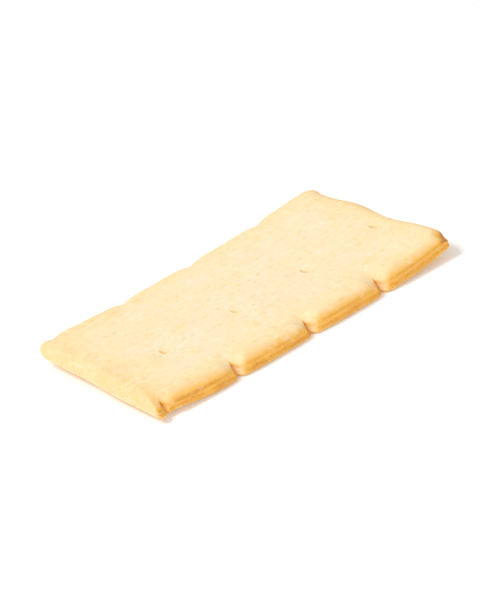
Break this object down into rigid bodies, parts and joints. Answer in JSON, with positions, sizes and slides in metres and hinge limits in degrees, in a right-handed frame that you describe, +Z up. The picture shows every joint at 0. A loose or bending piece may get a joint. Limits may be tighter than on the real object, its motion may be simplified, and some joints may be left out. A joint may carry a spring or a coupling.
{
  "type": "olive oil cracker",
  "caption": "Thin oblong baked cracker with pillowy edges, a notched long side, one sunken corner, a row of docking slits and gently lifted ends.",
  "frame": {"origin": "middle of the cracker's box in X and Y, level with the flat foot of its underside", "axes": "+X along the cracker towards the end with the sunken corner, -Y towards the notched long edge, +Z up out of the baked top"},
  "size_m": [0.0452, 0.0332, 0.0033],
  "materials": {
    "crust": "dry matt baked dough, cream on top and golden at the edges and below"
  },
  "bodies": {
    "root": {"cracker": "crust"}
  },
  "joints": []
}
